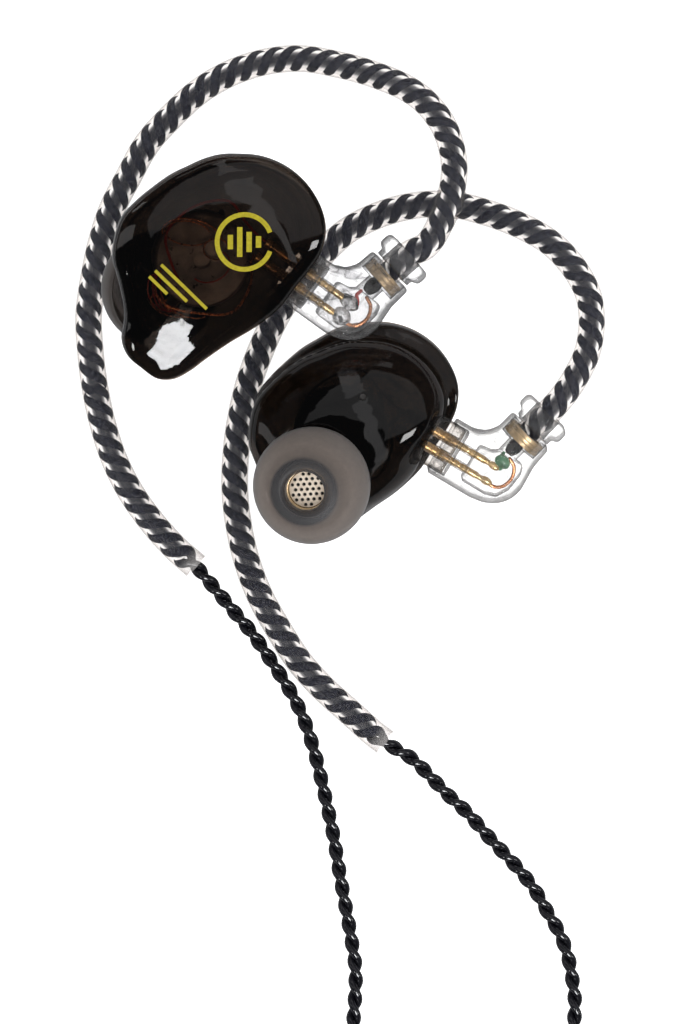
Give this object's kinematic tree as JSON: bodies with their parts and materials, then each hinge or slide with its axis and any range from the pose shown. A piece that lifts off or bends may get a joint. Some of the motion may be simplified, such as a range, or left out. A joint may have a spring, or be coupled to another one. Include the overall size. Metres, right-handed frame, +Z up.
{
  "type": "in-ear monitors",
  "caption": "Smoked in-ear monitors with silicone tips, detachable clear plugs, clear ear hooks over twisted cable, a splitter and a stereo jack.",
  "frame": {"origin": "on the resting plane, under the middle of the bounding box", "axes": "+Z up from the resting plane, +Y from the jack towards the housings, +X towards the right housing's plug"},
  "size_m": [0.0634, 0.1454, 0.0251],
  "materials": {
    "smoke_plastic": "clear smoked resin, polished",
    "silicone": "translucent matte silicone",
    "brass": "turned brass",
    "nozzle_screen": "perforated sheet",
    "clear_plastic": "clear moulded plastic",
    "gold_plate": "gold plated",
    "steel": "plated steel",
    "copper": "bare enamelled copper",
    "film": "coated film",
    "red_enamel": "enamelled wire",
    "green_enamel": "enamelled wire",
    "clear_tube": "clear heat-formed sleeve",
    "cable_jacket": "glossy black strands in a clear jacket",
    "black_plastic": "moulded black plastic"
  },
  "bodies": {
    "harness": {"cable_splitter": "black_plastic", "left_side_cable": "cable_jacket", "right_side_cable": "cable_jacket"},
    "jack": {"main_cable": "cable_jacket", "jack_strain_relief": "black_plastic", "jack_barrel": "black_plastic", "jack_insulator": "black_plastic", "jack_sleeve": "gold_plate", "jack_ring": "gold_plate", "jack_tip": "gold_plate"},
    "left_hook": {"left_hook_tube_rear": "clear_tube", "left_hook_cable_rear": "cable_jacket"},
    "left_plug": {"left_plug_housing": "clear_plastic", "left_plug_collar": "clear_plastic", "left_plug_pin_a": "gold_plate", "left_plug_pin_b": "gold_plate", "left_crimp_ring": "brass", "left_conductor_a": "red_enamel", "left_conductor_b": "copper", "left_hook_tube_front": "clear_tube", "left_hook_cable_front": "cable_jacket"},
    "left_earpiece": {"left_shell": "smoke_plastic", "left_faceplate": "smoke_plastic", "left_nozzle_sleeve": "brass", "left_nozzle_screen": "nozzle_screen", "left_socket_block": "clear_plastic", "left_socket_contact_a": "gold_plate", "left_socket_contact_b": "gold_plate", "left_driver_frame": "steel", "left_driver_magnet": "steel", "left_driver_wire_a": "red_enamel", "left_driver_wire_b": "copper"},
    "left_cone": {"left_diaphragm": "film", "left_voice_coil": "copper"},
    "left_tip": {"left_ear_tip": "silicone"},
    "right_hook": {"right_hook_tube_rear": "clear_tube", "right_hook_cable_rear": "cable_jacket"},
    "right_plug": {"right_plug_housing": "clear_plastic", "right_plug_collar": "clear_plastic", "right_plug_pin_a": "gold_plate", "right_plug_pin_b": "gold_plate", "right_crimp_ring": "brass", "right_conductor_a": "green_enamel", "right_conductor_b": "copper", "right_hook_tube_front": "clear_tube", "right_hook_cable_front": "cable_jacket"},
    "right_earpiece": {"right_shell": "smoke_plastic", "right_faceplate": "smoke_plastic", "right_nozzle_sleeve": "brass", "right_nozzle_screen": "nozzle_screen", "right_socket_block": "clear_plastic", "right_socket_contact_a": "gold_plate", "right_socket_contact_b": "gold_plate", "right_driver_frame": "steel", "right_driver_magnet": "steel", "right_driver_wire_a": "red_enamel", "right_driver_wire_b": "copper"},
    "right_cone": {"right_diaphragm": "film", "right_voice_coil": "copper"},
    "right_tip": {"right_ear_tip": "silicone"}
  },
  "joints": [
    {"name": "jack_flex", "type": "hinge", "parent": "harness", "child": "jack", "pos_m": [0.01571, -0.0591, 0.0023], "axis": [0, 0, 1], "range_deg": [-20, 20]},
    {"name": "left_cable_flex", "type": "hinge", "parent": "harness", "child": "left_hook", "pos_m": [-0.01171, 0.01733, 0.00153], "axis": [0, 0, 1], "range_deg": [-1, 15]},
    {"name": "left_hook_flex", "type": "hinge", "parent": "left_hook", "child": "left_plug", "pos_m": [0.01103, 0.0676, 0.01087], "axis": [0, 0, 1], "range_deg": [-8, 3.5]},
    {"name": "left_unplug", "type": "slide", "parent": "left_plug", "child": "left_earpiece", "axis": [-0.8001, 0.5773, 0.1631], "range_m": [0, 0.0042]},
    {"name": "left_tip_pull", "type": "slide", "parent": "left_earpiece", "child": "left_tip", "axis": [-0.2825, 0.1541, -0.9468], "range_m": [0, 0.0044]},
    {"name": "left_cone_stroke", "type": "slide", "parent": "left_earpiece", "child": "left_cone", "axis": [-0.1084, 0.1282, -0.9858], "range_m": [-0.0002, 0.0002]},
    {"name": "right_cable_flex", "type": "hinge", "parent": "harness", "child": "right_hook", "pos_m": [0.00846, -0.00139, 0.00153], "axis": [0, 0, 1], "range_deg": [-12, 1]},
    {"name": "right_hook_flex", "type": "hinge", "parent": "right_hook", "child": "right_plug", "pos_m": [0.02486, 0.05246, 0.00515], "axis": [0, 0, 1], "range_deg": [-0.5, 8]},
    {"name": "right_unplug", "type": "slide", "parent": "right_plug", "child": "right_earpiece", "axis": [-0.8565, 0.5073, 0.0955], "range_m": [0, 0.0042]},
    {"name": "right_tip_pull", "type": "slide", "parent": "right_earpiece", "child": "right_tip", "axis": [-0.1644, -0.1447, 0.9757], "range_m": [0, 0.0044]},
    {"name": "right_cone_stroke", "type": "slide", "parent": "right_earpiece", "child": "right_cone", "axis": [0.0148, -0.1609, 0.9869], "range_m": [-0.0002, 0.0002]}
  ]
}
